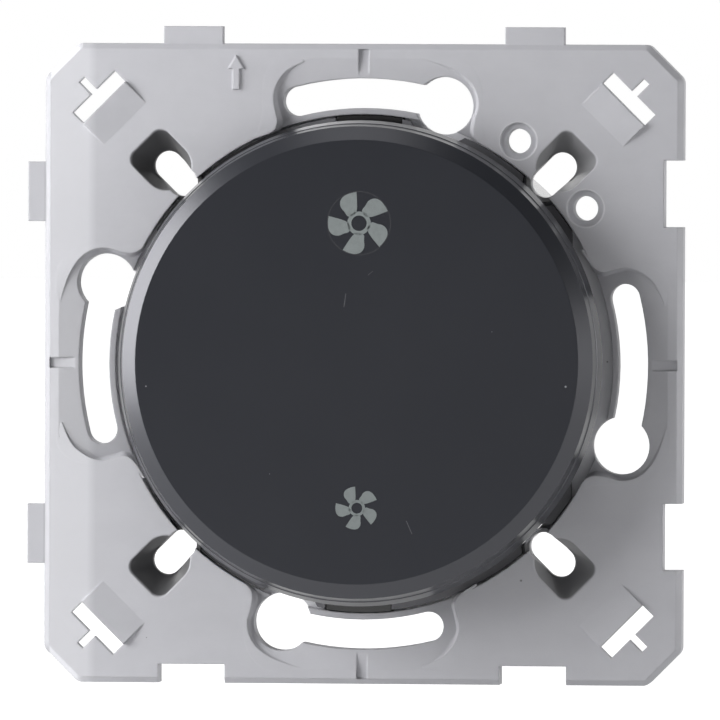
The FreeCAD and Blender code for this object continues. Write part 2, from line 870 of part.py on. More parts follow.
def make_rocker_cradle():
    """The tilting carrier behind the finger plate: a plate, two cheeks with trunnions and a
    tube for the sprung plunger."""
    cradle = Piece("rocker_cradle")
    back = cradle_back()
    width = s.cradle_half_width
    height = s.cradle_half_height
    plate = cradle.drawing(base=(0, 0, -back))
    rectangle(plate, -width, width, -height, height)
    cradle.pad(plate, s.cradle_thickness)
    tube = cradle.drawing("XY_Plane")
    mouth = own_depth(s.tube_deep)
    lip = mouth - s.tube_lip
    outline(
        tube,
        (s.tube_bore, back),
        (s.tube_radius, back),
        (s.tube_radius, mouth),
        (s.plunger_tip_radius + s.plunger_play, mouth),
        (s.plunger_tip_radius + s.plunger_play, lip),
        (s.tube_bore, lip),
    )
    cradle.revolution(tube)
    cheek_radius = s.trunnion_radius + s.cheek_thickness / 2
    for side in (-1, 1):
        inner = width * side - s.cheek_thickness * (side + 1) / 2
        cheek = cradle.drawing("YZ_Plane", base=(0, 0, inner))
        outline(
            cheek,
            (back, -s.cheek_half_height),
            (0, -cheek_radius, (0, 0), 1),
            (0, cheek_radius),
            (back, s.cheek_half_height),
        )
        cradle.pad(cheek, s.cheek_thickness)
        start = width * side - s.trunnion_length * (1 - side) / 2
        trunnion = cradle.drawing("YZ_Plane", base=(0, 0, start))
        circle(trunnion, 0, 0, s.trunnion_radius)
        cradle.pad(trunnion, s.trunnion_length)
        rib = cradle.drawing(base=(0, 0, -back - s.rib_depth))
        near = (s.tube_bore + s.tube_radius) / 2 * side
        half = s.rib_thickness / 2
        rectangle(rib, near, (width - s.cheek_thickness / 2) * side, -half, half)
        cradle.pad(rib, s.rib_depth)
        web = cradle.drawing(base=(0, 0, -back - s.rib_depth))
        rectangle(web, -half, half, near, (s.cradle_half_width - s.cradle_clearance) * side)
        cradle.pad(web, s.rib_depth)
    tilted_with_rocker(cradle)


def make_rocker_plunger():
    """The pin in the cradle's tube that tips the contact blade over."""
    plunger = Piece("rocker_plunger")
    start = own_depth(s.plunger_start_deep)
    shoulder = own_depth(s.tube_deep) - s.tube_lip - s.seat_gap
    tip = own_depth(s.plunger_tip_deep)
    section = plunger.drawing("XY_Plane")
    outline(
        section,
        (0, start),
        (s.tube_bore - s.plunger_play, start),
        (s.tube_bore - s.plunger_play, shoulder),
        (s.plunger_tip_radius, shoulder),
        (s.plunger_tip_radius, tip - s.plunger_nose_length),
        (s.plunger_nose_radius, tip),
        (0, tip),
    )
    plunger.revolution(section)
    tilted_with_rocker(plunger)


def make_plunger_spring():
    """The coil spring between the cradle and the plunger, of square wire."""
    spring = Piece("plunger_spring")
    sides = 4
    start = cradle_back() + s.seat_gap + s.spring_wire / 2
    finish = own_depth(s.plunger_start_deep) - s.seat_gap - s.spring_wire / 2
    wire = spring.drawing("XY_Plane")
    corners = []
    for number in range(sides):
        across_x, across_y = on_circle(s.spring_wire / 2, sized(360 / sides * number))
        corners.append((s.spring_mean_radius + across_x, start + across_y))
    outline(wire, *corners)
    coil = spring.body.newObject("PartDesign::AdditiveHelix", "plunger_spring_coil")
    coil.Profile = wire
    coil.ReferenceAxis = (wire, ["V_Axis"])
    coil.Mode = 0
    bind(coil, "Pitch", s.spring_pitch)
    bind(coil, "Height", finish - start)
    document.recompute()
    tilted_with_rocker(spring)


def at_hinge(piece, angle):
    """Set a piece of the contact blade at the blade's hinge line."""
    place(piece.body, "Placement", (0, s.hinge_deep, 0), about_first_axis, angle)


def make_changeover_blade():
    """The see-saw blade, a shallow V with a round rib that rocks in the saddle."""
    blade = Piece("changeover_blade")
    reach = s.blade_half_length * sine(s.blade_tilt)
    rise = s.blade_half_length * cosine(s.blade_tilt)
    forward = s.blade_thickness * cosine(s.blade_tilt)
    inward = s.blade_thickness * sine(s.blade_tilt)
    section = blade.drawing("YZ_Plane")
    outline(
        section,
        (0, 0),
        (-reach, rise),
        (-reach - forward, rise - inward),
        (-s.blade_thickness / cosine(s.blade_tilt), 0),
        (-reach - forward, inward - rise),
        (-reach, -rise),
    )
    blade.pad(section, s.blade_width, symmetric=True)
    rib = blade.drawing("YZ_Plane")
    sunk = s.blade_thickness / 2
    outline(
        rib,
        (0, -s.blade_rib_radius, (0, 0), 1),
        (0, s.blade_rib_radius),
        (-sunk, s.blade_rib_radius),
        (-sunk, -s.blade_rib_radius),
    )
    blade.pad(rib, s.blade_width, symmetric=True)
    at_hinge(blade, s.blade_tilt)


def make_moving_contact(speed, side, angle):
    """A contact face riveted to the back of one of the blade's arms."""
    contact = Piece(f"moving_contact_{speed}")
    face = contact.drawing(base=(0, 0, -s.contact_thickness))
    circle(face, 0, s.contact_place * side, s.contact_radius)
    contact.pad(face, s.contact_thickness)
    at_hinge(contact, angle)


fixed_contact_front = s.hinge_deep + s.contact_thickness + s.contact_gap
terminal_front = fixed_contact_front + s.contact_thickness


def make_fixed_contact(speed, side):
    contact = Piece(f"fixed_contact_{speed}")
    face = contact.drawing(base=(0, 0, -terminal_front))
    circle(face, 0, s.contact_place * side, s.contact_radius)
    contact.pad(face, s.contact_thickness)


def across(side, from_clamp):
    """The X of a point in a clamp chamber, given its distance from the clamp's middle
    towards the middle of the switch."""
    return (s.clamp_place - from_clamp) * side


plate_near = s.chamber_inner + s.terminal_wall_gap
plate_far = plate_near + s.terminal_thickness
plate_half = s.chamber_half - s.chamber_wall / 2


def make_side_terminal(speed, side):
    """The bent brass strip from a speed's clamp chamber to its fixed contact."""
    terminal = Piece(f"{speed}_terminal")
    plate = terminal.drawing(base=(0, 0, -s.terminal_end_deep))
    middle = s.clamp_place * side
    rectangle(plate, -plate_far, -plate_near, middle - plate_half, middle + plate_half)
    terminal.pad(plate, s.terminal_end_deep - terminal_front)
    arm = terminal.drawing(base=(0, 0, -terminal_front - s.terminal_thickness))
    middle = s.contact_place * side
    half = s.arm_width / 2
    rectangle(arm, -plate_far, s.arm_reach, middle - half, middle + half)
    terminal.pad(arm, s.terminal_thickness)


def make_common_terminal():
    """The brass strip whose saddle carries the contact blade."""
    terminal = Piece("common_terminal")
    plate = terminal.drawing(base=(0, 0, -s.terminal_end_deep))
    rectangle(plate, plate_near, plate_far, -plate_half, plate_half)
    terminal.pad(plate, s.terminal_end_deep - terminal_front)
    arm = terminal.drawing(base=(0, 0, -terminal_front - s.terminal_thickness))
    half = s.saddle_arm_width / 2
    rectangle(arm, -s.saddle_arm_reach, plate_far, -half, half)
    terminal.pad(arm, s.terminal_thickness)
    groove_radius = s.blade_rib_radius + s.saddle_clearance
    groove_half = other_leg(groove_radius, s.saddle_front - s.hinge_deep)
    saddle = terminal.drawing("YZ_Plane")
    sunk = terminal_front + s.terminal_thickness / 2
    outline(
        saddle,
        (s.saddle_front, -s.saddle_half),
        (s.saddle_front, -groove_half, (s.hinge_deep, 0), 1),
        (s.saddle_front, groove_half),
        (s.saddle_front, s.saddle_half),
        (sunk, s.saddle_half),
        (sunk, -s.saddle_half),
    )
    terminal.pad(saddle, s.blade_width, symmetric=True)


leaf_run = s.spring_tip + s.spring_anchor - s.spring_leaf
leaf_rise = s.spring_tip_deep - s.spring_bend_deep
leaf_length = hypotenuse(leaf_run, leaf_rise)
leaf_back_shift = s.spring_leaf * leaf_length / leaf_run


def leaf_back(from_clamp):
    """How deep the back of the clamp spring's slanted leg lies."""
    travelled = from_clamp + s.spring_anchor - s.spring_leaf
    return s.spring_bend_deep + leaf_back_shift + travelled * leaf_rise / leaf_run


def make_clamp_spring(name, side, height):
    """The bent leaf that presses a wire against its terminal."""
    spring = Piece(f"clamp_spring_{name}")
    outer = across(side, -s.spring_anchor)
    inner = across(side, s.spring_leaf - s.spring_anchor)
    tip = across(side, s.spring_tip)
    bend_back = s.spring_bend_deep + leaf_back_shift
    section = spring.drawing("XY_Plane", base=(0, 0, height))
    outline(
        section,
        (outer, s.spring_anchor_end),
        (outer, s.spring_bend_deep),
        (inner, s.spring_bend_deep),
        (tip, s.spring_tip_deep),
        (tip, s.spring_tip_deep + leaf_back_shift),
        (inner, bend_back),
        (inner, s.spring_anchor_end),
    )
    spring.pad(section, s.spring_leaf_width, symmetric=True)


def make_release_lever(name, side, height):
    """The push button in the back of the housing that lifts the clamp spring off a wire."""
    lever = Piece(f"release_lever_{name}")
    outer = -s.lever_offset - s.lever_width / 2
    inner = -s.lever_offset + s.lever_width / 2
    end = s.housing_deep + s.lever_proud_of_floor
    collar_back = s.housing_deep - s.housing_floor - s.seat_gap
    collar_front = collar_back - s.lever_collar_thickness
    slope_start = s.lever_tip_deep - s.lever_tip_gap - leaf_back(sized(0))
    slope_start = slope_start * leaf_run / leaf_rise
    section = lever.drawing("XY_Plane", base=(0, 0, height))
    outline(
        section,
        (across(side, outer), s.lever_tip_deep),
        (across(side, slope_start), s.lever_tip_deep),
        (across(side, inner), leaf_back(inner) + s.lever_tip_gap),
        (across(side, inner), collar_front),
        (across(side, inner + s.lever_collar), collar_front),
        (across(side, inner + s.lever_collar), collar_back),
        (across(side, inner), collar_back),
        (across(side, inner), end),
        (across(side, outer), end),
        (across(side, outer), collar_back),
        (across(side, outer - s.lever_collar), collar_back),
        (across(side, outer - s.lever_collar), collar_front),
        (across(side, outer), collar_front),
    )
    lever.pad(section, s.lever_height, symmetric=True)


clamps = {
    "high": (-1, -s.clamp_place),
    "low": (-1, s.clamp_place),
    "common": (1, sized(0)),
}


def add_clamp_chamber(housing, side, height):
    """A walled chamber on the housing's floor, with two wire holes and a lever's slot."""
    floor = s.housing_deep - s.housing_floor
    wall = s.chamber_wall
    half = s.chamber_half
    block = housing.drawing(base=(0, 0, -floor))
    near = (s.chamber_inner - wall) * side
    far = (s.chamber_outer + wall) * side
    rectangle(block, near, far, height - half - wall, height + half + wall)
    housing.pad(block, floor - s.chamber_front)
    cavity = housing.drawing(base=(0, 0, -s.chamber_front))
    near = s.chamber_inner * side
    far = s.chamber_outer * side
    rectangle(cavity, near, far, height - half, height + half)
    housing.pocket(cavity, floor - s.chamber_front)
    holes = housing.drawing(base=(0, 0, -floor))
    for step in (-1, 1):
        place_x = across(side, s.lever_offset)
        circle(holes, place_x, height + s.wire_hole_spacing * step, s.wire_hole_radius)
    housing.pocket(holes)
    slot = housing.drawing(base=(0, 0, -floor))
    middle = across(side, -s.lever_offset)
    half_width = s.lever_width / 2 + s.lever_clearance
    half_height = s.lever_height / 2 + s.lever_clearance
    rectangle(
        slot,
        middle - half_width,
        middle + half_width,
        height - half_height,
        height + half_height,
    )
    housing.pocket(slot)


def add_pillar(housing, half_width, low, high):
    floor = s.housing_deep - s.housing_floor
    pillar = housing.drawing(base=(0, 0, -floor))
    rectangle(pillar, -half_width, half_width, low, high)
    housing.pad(pillar, floor - s.chamber_front)


def add_latch_layer(housing, low, start, end):
    """One layer of a latch tongue, from a height up to the round wall of the frame's opening
    and from one depth to another."""
    left = s.latch_offset - s.latch_width / 2
    right = s.latch_offset + s.latch_width / 2
    top = s.opening_radius - s.latch_side_clearance
    layer = housing.drawing(base=(0, 0, -end))
    outline(
        layer,
        (left, low),
        (right, low),
        (right, other_leg(top, right), (0, 0), 1),
        (left, other_leg(top, left)),
    )
    return housing.pad(layer, end - start)


def add_latches(housing, front):
    """The two tongues that pass the frame's windows and grip its ledge between a shoulder
    behind and a barb in front."""
    root = front + s.latch_root_height
    grip = s.ledge_thickness + s.seat_gap
    shoulder = s.latch_seat_depth - s.seat_gap
    barb_low = s.latch_tip_inner - s.latch_barb
    tongue = [
        add_latch_layer(housing, collar_inner_half, front, root),
        add_latch_layer(housing, s.latch_shoulder_inner, -shoulder, root),
        add_latch_layer(housing, s.latch_tip_inner, -s.latch_tip_proud, root),
        add_latch_layer(housing, barb_low, -grip - s.latch_barb_thickness, -grip),
    ]
    housing.turned_copies(tongue, 2)


def make_rear_housing():
    """The black box in the wall, with clamp chambers, contact pillars and two latches."""
    housing = Piece("rear_housing")
    front = s.collar_deep + s.housing_gap
    floor = s.housing_deep - s.housing_floor
    shell = housing.drawing(base=(0, 0, -s.housing_deep))
    clipped_square(shell, s.collar_half, s.collar_radius)
    housing.pad(shell, s.housing_deep - front)
    room = housing.drawing(base=(0, 0, -front))
    clipped_square(room, collar_inner_half, collar_inner_radius)
    housing.pocket(room, floor - front)
    add_latches(housing, front)
    for side, height in clamps.values():
        add_clamp_chamber(housing, side, height)
    half_arm = s.saddle_arm_width / 2
    add_pillar(housing, s.blade_width / 2, -half_arm, half_arm)
    for side in (-1, 1):
        middle = s.contact_place * side
        add_pillar(housing, s.contact_radius, middle - s.contact_radius, middle + s.contact_radius)


def check_and_write():
    """Stop if anything failed, and otherwise write one file for each piece."""
    document.recompute()
    for item in document.Objects:
        if "Invalid" in item.State or "Error" in item.State:
            raise RuntimeError(f"{item.Label} failed: {item.State}")
    for piece in pieces:
        shape = piece.body.Shape
        if shape.isNull() or not shape.isValid():
            raise RuntimeError(f"{piece.label} has no valid shape")
    os.makedirs("parts", exist_ok=True)
    for piece in pieces:
        piece.body.Shape.exportStep(f"parts/{piece.label}.step")


make_support_frame()
make_front_cover()
make_finger_plate()
make_rocker_cradle()
make_rocker_plunger()
make_plunger_spring()
make_rear_housing()
make_changeover_blade()
make_moving_contact("high", -1, 0)
make_moving_contact("low", 1, s.blade_tilt * 2)
make_fixed_contact("high", -1)
make_fixed_contact("low", 1)
make_side_terminal("high", -1)
make_side_terminal("low", 1)
make_common_terminal()
for clamp, (clamp_side, clamp_height) in clamps.items():
    make_clamp_spring(clamp, clamp_side, clamp_height)
    make_release_lever(clamp, clamp_side, clamp_height)
check_and_write()
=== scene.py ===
import bpy, bmesh, json, math
from mathutils import Matrix, Vector


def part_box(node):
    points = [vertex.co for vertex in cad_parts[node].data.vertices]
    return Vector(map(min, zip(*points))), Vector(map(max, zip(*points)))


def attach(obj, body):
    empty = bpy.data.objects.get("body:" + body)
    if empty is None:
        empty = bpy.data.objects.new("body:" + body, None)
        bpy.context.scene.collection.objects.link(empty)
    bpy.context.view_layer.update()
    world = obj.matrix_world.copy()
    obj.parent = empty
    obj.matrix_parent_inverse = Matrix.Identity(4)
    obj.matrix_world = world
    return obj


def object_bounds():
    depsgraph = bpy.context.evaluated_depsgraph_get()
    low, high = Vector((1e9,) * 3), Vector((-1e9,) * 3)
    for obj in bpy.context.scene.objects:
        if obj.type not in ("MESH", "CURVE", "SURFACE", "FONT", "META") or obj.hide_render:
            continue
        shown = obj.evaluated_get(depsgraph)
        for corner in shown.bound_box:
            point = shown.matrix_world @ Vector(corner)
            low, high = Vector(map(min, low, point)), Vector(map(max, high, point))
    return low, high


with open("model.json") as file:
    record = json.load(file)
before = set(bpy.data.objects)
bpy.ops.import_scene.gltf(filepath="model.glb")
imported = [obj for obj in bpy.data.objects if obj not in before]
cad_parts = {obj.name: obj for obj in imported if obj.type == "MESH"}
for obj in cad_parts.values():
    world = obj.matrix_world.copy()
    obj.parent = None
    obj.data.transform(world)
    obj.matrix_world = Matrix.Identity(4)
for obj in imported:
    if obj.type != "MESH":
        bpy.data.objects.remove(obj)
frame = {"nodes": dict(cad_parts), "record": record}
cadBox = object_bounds()
mm = 0.001


def say(text):
    print("stage:", text)


class Socket:  # an output in shader maths; operators add Math nodes
    def __init__(self, graph, output):
        self.graph = graph
        self.output = output

    def math(self, operation, first, second=0.0):
        return self.graph.node("ShaderNodeMath", {"operation": operation}, {0: first, 1: second})

    def __add__(self, other):
        return self.math("ADD", self, other)

    def __radd__(self, other):
        return self.math("ADD", other, self)

    def __sub__(self, other):
        return self.math("SUBTRACT", self, other)

    def __rsub__(self, other):
        return self.math("SUBTRACT", other, self)

    def __mul__(self, other):
        return self.math("MULTIPLY", self, other)

    def __rmul__(self, other):
        return self.math("MULTIPLY", other, self)

    def __truediv__(self, other):
        return self.math("DIVIDE", self, other)

    def __rtruediv__(self, other):
        return self.math("DIVIDE", other, self)

    def __pow__(self, other):
        return self.math("POWER", self, other)

    def __rpow__(self, other):
        return self.math("POWER", other, self)

    def __lt__(self, other):
        return self.math("LESS_THAN", self, other)

    def __gt__(self, other):
        return self.math("GREATER_THAN", self, other)

    def __abs__(self):
        return self.math("ABSOLUTE", self)

    def most(self, other):
        return self.math("MAXIMUM", self, other)


class Graph:  # a node tree, of a material or of the world
    def __init__(self, tree):
        self.tree = tree

    def node(self, kind, settings, inputs, output=0):
        new = self.tree.nodes.new(kind)
        for key, value in settings.items():
            setattr(new, key, value)
        for key, value in inputs.items():
            self.feed(new.inputs[key], value)
        return Socket(self, new.outputs[output])

    def feed(self, socket, value):
        if isinstance(value, Socket):
            self.tree.links.new(value.output, socket)
        else:
            socket.default_value = value

    def seen(self, mirrored):  # 1 to the camera and glass, and in reflections to a share
        path = self.node("ShaderNodeLightPath", {}, {}).output.node.outputs
        kinds = ("Camera", "Transmission", "Glossy")
        camera, glass, gloss = (Socket(self, path[f"Is {kind} Ray"]) for kind in kinds)
        return camera.most(glass).most(gloss * mirrored)

    def split(self, vector):
        outputs = self.node("ShaderNodeSeparateXYZ", {}, {0: vector}).output.node.outputs
        return [Socket(self, outputs[index]) for index in range(3)]

    def ramp(self, value, low, high):  # 0 below low, 1 above high
        inputs = {"Value": value, "From Min": low, "From Max": high}
        return self.node("ShaderNodeMapRange", {"clamp": True}, inputs)


class Paint(Graph):  # one material
    def __init__(self, name, fixed):
        self.material = bpy.data.materials.new(name)
        self.material.use_nodes = True
        super().__init__(self.material.node_tree)
        self.shader = self.tree.nodes["Principled BSDF"]
        for key, value in fixed.items():
            self.shader.inputs[key].default_value = value
        self.place = self.node("ShaderNodeTexCoord", {}, {}, "Object")

    def noise(self, scale, detail, rough, stretch=None):
        place = self.place
        if stretch:
            place = self.node("ShaderNodeMapping", {}, {0: place, 3: stretch})
        inputs = {"Vector": place, "Scale": scale, "Detail": detail, "Roughness": rough}
        return self.node("ShaderNodeTexNoise", {}, inputs)

    def axes(self):
        return self.split(self.place)

    def mix(self, share, first, second):
        settings = {"data_type": "RGBA"}
        return self.node("ShaderNodeMix", settings, {0: share, 6: first, 7: second}, 2)

    def bump(self, height, relief):  # fine relief over edges that look a little rounded
        inputs = {"Height": height, "Strength": relief["strength"], "Distance": relief["depth"]}
        inputs["Normal"] = self.node("ShaderNodeBevel", {"samples": 4}, {"Radius": relief["edge"]})
        return self.node("ShaderNodeBump", {}, inputs)

    def spots(self, color, places, tone, share, core=0.35):  # round marks of (x, z, radius) in mm
        x, y, z = self.axes()
        for across, height, size in places:
            away = (x - across * mm) ** 2.0 + (z - height * mm) ** 2.0
            spot = 1 - self.ramp(away, (core * size * mm) ** 2, (size * mm) ** 2)
            color = self.mix(spot * share, color, tone)
        return color

    def finish(self, **inputs):
        for key, value in inputs.items():
            self.feed(self.shader.inputs[key.replace("_", " ")], value)
        return self.material


def grey(level, tint=0.0):
    return (level, level, level * (1 + tint), 1.0)


def darker(color, share):
    return tuple(part * share for part in color[:3]) + (1.0,)


# support frame: light grey moulded plastic, a little mottled, with a few dark specks
frameLook = {
    "color": grey(0.50, 0.06),
    "mottle": {"tone": grey(0.42, 0.07), "share": 0.45, "flow": 0.65, "from": 0.35, "to": 0.68},
    "flow": (70, 5, 0.6, (1.0, 1.0, 2.6)),
    "cloud": (260, 3, 0.55),
    "fine": (2600, 2, 0.5),
    "steps": [  # painted light and shade: tones of the left margin (lighter), the left edge (darker) and the left tabs, by x in mm
        {"from": -30.7, "to": -29.7, "share": 0.9, "tone": grey(0.60, 0.05)},
        {"from": -34.95, "to": -34.75, "share": 1.0, "tone": grey(0.40, 0.06)},
        {"from": -35.70, "to": -35.50, "share": 1.0, "tone": grey(0.49, 0.06)},
    ],
    "pocket": {  # painted shade in the sunk claw pockets, in mm along and beside the diagonals, darker on the left
        "near": 26.9, "far": 34.8, "half": 2.77, "front": (-3.97, -3.72), "back": -0.2,
        "left": grey(0.085, 0.04), "right": grey(0.21, 0.04),
    },
    "ledge": {"front": -1.7, "radius": 28.2, "tone": grey(0.86, 0.04)},  # painted light on the opening's inner step, which lies in the plate's shade
    "ring": {  # painted highlights: pale rims of the two fixing holes
        "places": [(17.24, 24.80), (24.71, 17.37)],
        "radius": 2.08, "inner": 0.04, "outer": 0.14, "share": 0.6, "tone": grey(0.74, 0.04),
    },
    "speck": {"tone": grey(0.10), "share": 0.8},
    "specks": [(17.7, -23.9, 0.16), (27.0, 0.35, 0.12), (-24.0, -30.5, 0.08)],
    "specular": 0.45,
    "roughness": {"base": 0.42, "mottle": 0.1, "fine": 0.04},
    "relief": {"strength": 0.25, "depth": 0.05 * mm, "fine": 0.5, "edge": 0.24 * mm},
}


# painted light and shade down the frame's left side, where the lamp falls
def leftSidePaintedLight(paint, color):
    x = paint.axes()[0]
    for step in frameLook["steps"]:
        side = 1 - paint.ramp(x, step["from"] * mm, step["to"] * mm)
        color = paint.mix(side * step["share"], color, step["tone"])
    return color


# painted shade inside the claw pockets, darker in the two on the left
def pocketTones(paint, color):
    look = frameLook["pocket"]
    x, y, z = paint.axes()
    along = (abs(x) + abs(z)) / math.sqrt(2)
    aside = abs(abs(x) - abs(z)) / math.sqrt(2)
    inside = (along > look["near"] * mm) * (along < look["far"] * mm) * (aside < look["half"] * mm)
    low, high = look["front"]
    sunk = paint.ramp(y, low * mm, high * mm) * (y < look["back"] * mm)
    return paint.mix(inside * sunk, color, paint.mix(x > 0.0, look["left"], look["right"]))


# painted light on the shaded inner step of the opening
def ledgeTone(paint, color):
    look = frameLook["ledge"]
    x, y, z = paint.axes()
    ledge = (y > look["front"] * mm) * (x ** 2.0 + z ** 2.0 < (look["radius"] * mm) ** 2)
    return paint.mix(ledge, color, look["tone"])


# painted highlights round the rims of the two fixing holes
def holeRimHighlights(paint, color):
    look = frameLook["ring"]
    x, y, z = paint.axes()
    for across, height in look["places"]:
        away = ((x - across * mm) ** 2.0 + (z - height * mm) ** 2.0) ** 0.5
        beside = abs(away - look["radius"] * mm)
        ring = 1 - paint.ramp(beside, look["inner"] * mm, look["outer"] * mm)
        color = paint.mix(ring * look["share"], color, look["tone"])
    return color


def frameMaterial():
    look = frameLook
    mottle, speck = look["mottle"], look["speck"]
    roughness, relief = look["roughness"], look["relief"]
    paint = Paint("moulded_grey", {"Specular IOR Level": look["specular"]})
    flow, cloud, fine = (paint.noise(*look[key]) for key in ("flow", "cloud", "fine"))
    blend = flow * mottle["flow"] + cloud * (1 - mottle["flow"])
    shade = paint.ramp(blend, mottle["from"], mottle["to"])
    color = paint.mix(shade * mottle["share"], look["color"], mottle["tone"])
    # painted light and shade on the frame's colour
    for tones in (leftSidePaintedLight, pocketTones, ledgeTone, holeRimHighlights):
        color = tones(paint, color)
    color = paint.spots(color, look["specks"], speck["tone"], speck["share"])
    rough = roughness["base"] + shade * roughness["mottle"] + fine * roughness["fine"]
    normal = paint.bump(fine * relief["fine"] + cloud * (1 - relief["fine"]), relief)
    return paint.finish(Base_Color=color, Roughness=rough, Normal=normal)


# finger plate: graphite plastic with an even fine grain, faint scratches and dust
plateLook = {
    "color": (0.0108, 0.0123, 0.0168, 1.0),
    "worn": {"tone": (0.0160, 0.0174, 0.0220, 1.0), "share": 0.25, "from": 0.4, "to": 0.7},
    "sheen": (0.94, 0.94, 1.0, 1.0),
    "specular": 0.78,
    "cloud": (55, 4, 0.5),
    "fine": (5200, 2, 0.5),
    "roughness": {"base": 0.25, "fine": 0.06, "cloud": 0.04},
    "relief": {"strength": 0.2, "depth": 0.02 * mm, "edge": 0.12 * mm},
    "dust": {"tone": grey(0.42, 0.05), "scratch": 0.35, "dot": 0.7, "depth": 2.4 * mm},
    "scratches": [  # x, z, length and width in mm, and degrees
        (-1.3, 7.2, 1.5, 0.05, 8), (6.0, -17.8, 1.6, 0.05, -24), (1.5, 10.2, 0.7, 0.04, 50),
    ],
    "dots": [(23.2, -2.2, 0.14), (-23.3, -2.4, 0.10), (15.0, 3.8, 0.06), (-9.5, -12.0, 0.06)],
}


def plateMaterial():
    look = plateLook
    worn, dust, roughness = look["worn"], look["dust"], look["roughness"]
    fixed = {"Specular IOR Level": look["specular"], "Specular Tint": look["sheen"]}
    paint = Paint("graphite_plate", fixed)
    cloud, fine = (paint.noise(*look[key]) for key in ("cloud", "fine"))
    wear = paint.ramp(cloud, worn["from"], worn["to"]) * worn["share"]
    color = paint.mix(wear, look["color"], worn["tone"])
    x, y, z = paint.axes()
    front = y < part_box("finger_plate")[0].y + dust["depth"]  # scratches only on the plate's face
    for across, height, length, width, angle in look["scratches"]:
        turn = math.radians(angle)
        along = (x - across * mm) * math.sin(turn) + (z - height * mm) * math.cos(turn)
        beside = (x - across * mm) * math.cos(turn) - (z - height * mm) * math.sin(turn)
        line = (1 - paint.ramp(abs(beside), 0, width * mm)) * (abs(along) < length * mm / 2)
        color = paint.mix(line * front * dust["scratch"], color, dust["tone"])
    color = paint.spots(color, look["dots"], dust["tone"], dust["dot"])
    rough = roughness["base"] + fine * roughness["fine"] + cloud * roughness["cloud"]
    normal = paint.bump(fine, look["relief"])
    return paint.finish(Base_Color=color, Roughness=rough, Normal=normal)


# the carrier, housing, cradle and levers, and the metal parts inside
plasticLook = {
    "cloud": (120, 4, 0.5), "fine": (3600, 2, 0.5),
    "mottle": {"dark": 0.8, "share": 0.5, "from": 0.35, "to": 0.7},
    "roughness": {"fine": 0.05, "cloud": 0.04, "coat": 0.08},
    "relief": {"strength": 0.2, "depth": 0.02 * mm, "edge": 0.12 * mm},
}
metalLook = {
    "lines": (900, 3, 0.6), "cloud": (160, 4, 0.5),
    "mottle": {"dark": 0.72, "share": 0.6, "from": 0.4, "to": 0.75},
    "roughness": {"lines": 0.14},
    "relief": {"strength": 0.25, "depth": 0.02 * mm, "edge": 0.06 * mm},
}


def mottled(paint, cloud, color, mottle):  # partly darker where the cloud is thick
    share = paint.ramp(cloud, mottle["from"], mottle["to"]) * mottle["share"]
    return paint.mix(share, color, darker(color, mottle["dark"]))


def plasticMaterial(name, color, base, coat=0.0, **relief):
    look = plasticLook
    roughness = look["roughness"]
    paint = Paint(name, {"Coat Weight": coat, "Coat Roughness": roughness["coat"]})
    cloud, fine = (paint.noise(*look[key]) for key in ("cloud", "fine"))
    shade = mottled(paint, cloud, color, look["mottle"])
    rough = base + fine * roughness["fine"] + cloud * roughness["cloud"]
    normal = paint.bump(fine, {**look["relief"], **relief})
    return paint.finish(Base_Color=shade, Roughness=rough, Normal=normal)


def metalMaterial(name, color, base, brushed):
    look = metalLook
    paint = Paint(name, {"Metallic": 1.0})
    lines = paint.noise(*look["lines"], brushed)
    cloud = paint.noise(*look["cloud"])
    shade = mottled(paint, cloud, color, look["mottle"])
    rough = base + lines * look["roughness"]["lines"]
    normal = paint.bump(lines, look["relief"])
    return paint.finish(Base_Color=shade, Roughness=rough, Normal=normal)


brass, silver, steel = (0.80, 0.60, 0.28, 1.0), (0.82, 0.80, 0.76, 1.0), (0.62, 0.62, 0.63, 1.0)
black = grey(0.012, 0.05)
finishes = {
    "frame_plastic": frameMaterial(),
    "cover_plastic": plasticMaterial("carrier_grey", grey(0.15, 0.08), 0.42),
    "plate_plastic": plateMaterial(),
    "housing_plastic": plasticMaterial("housing_black", black, 0.20, coat=0.6, depth=0.01 * mm),
    "cradle_plastic": plasticMaterial("cradle_ivory", (0.60, 0.58, 0.52, 1.0), 0.40),
    "lever_plastic": plasticMaterial("lever_ivory", (0.66, 0.64, 0.57, 1.0), 0.36),
    "contact_brass": metalMaterial("contact_brass", brass, 0.24, (1.0, 1.0, 12.0)),
    "contact_silver": metalMaterial("contact_silver", silver, 0.20, (1.0, 1.0, 1.0)),
    "spring_steel": metalMaterial("spring_steel", steel, 0.22, (1.0, 12.0, 1.0)),
}
for part in frame["record"]["subparts"]:
    node = frame["nodes"][part["node"]]
    node.data.materials.clear()
    node.data.materials.append(finishes[part["material_slot"]])
say("finishes on the solids")


# printed fan signs on the plate's face, as thin fills that follow its tilt
signLook = {
    "color": (0.205, 0.228, 0.228, 1.0),
    "specular": 0.4,
    "grain": (1500, 3, 0.6),
    "roughness": {"base": 0.5, "grain": 0.1},
    "mottle": {"dark": 0.8, "share": 0.5, "from": 0.45, "to": 0.75},
    "across": 0.2 * mm,
    "thickness": 0.02 * mm,
    "trace": {  # a faint ring round the large sign
        "color": grey(0.055, 0.1),
        "inner": 3.47 * mm, "outer": 3.53 * mm, "thickness": 0.008 * mm,
    },
    "blades": 5,
    "bladeSteps": 5,
    "ringSteps": 72,
    "unit": 443,  # the blade's points reach this far
    "blade": [
        (-38, 160), (-38, 425), (-60, 443), (-133, 428), (-213, 393),
        (-263, 338), (-275, 278), (-258, 218), (-213, 165), (-150, 95),
    ],
}
signs = {
    "fan_sign_large": {"height": 15.35, "radius": 3.40, "hub": 1.30, "hole": 0.85},
    "fan_sign_small": {"height": -16.1, "radius": 2.35, "hub": 0.90, "hole": 0.60},
}
plateTilt = math.radians(-2.5)  # at rest, with the top pressed in
pivot = Vector((0, -3.5, 0)) * mm
faceProud = 12.0 * mm


def onFace(x, z, lift):  # a point of the tilted plate's face
    flat = Vector((x, -faceProud - lift, z)) - pivot
    return Matrix.Rotation(plateTilt, 3, "X") @ flat + pivot


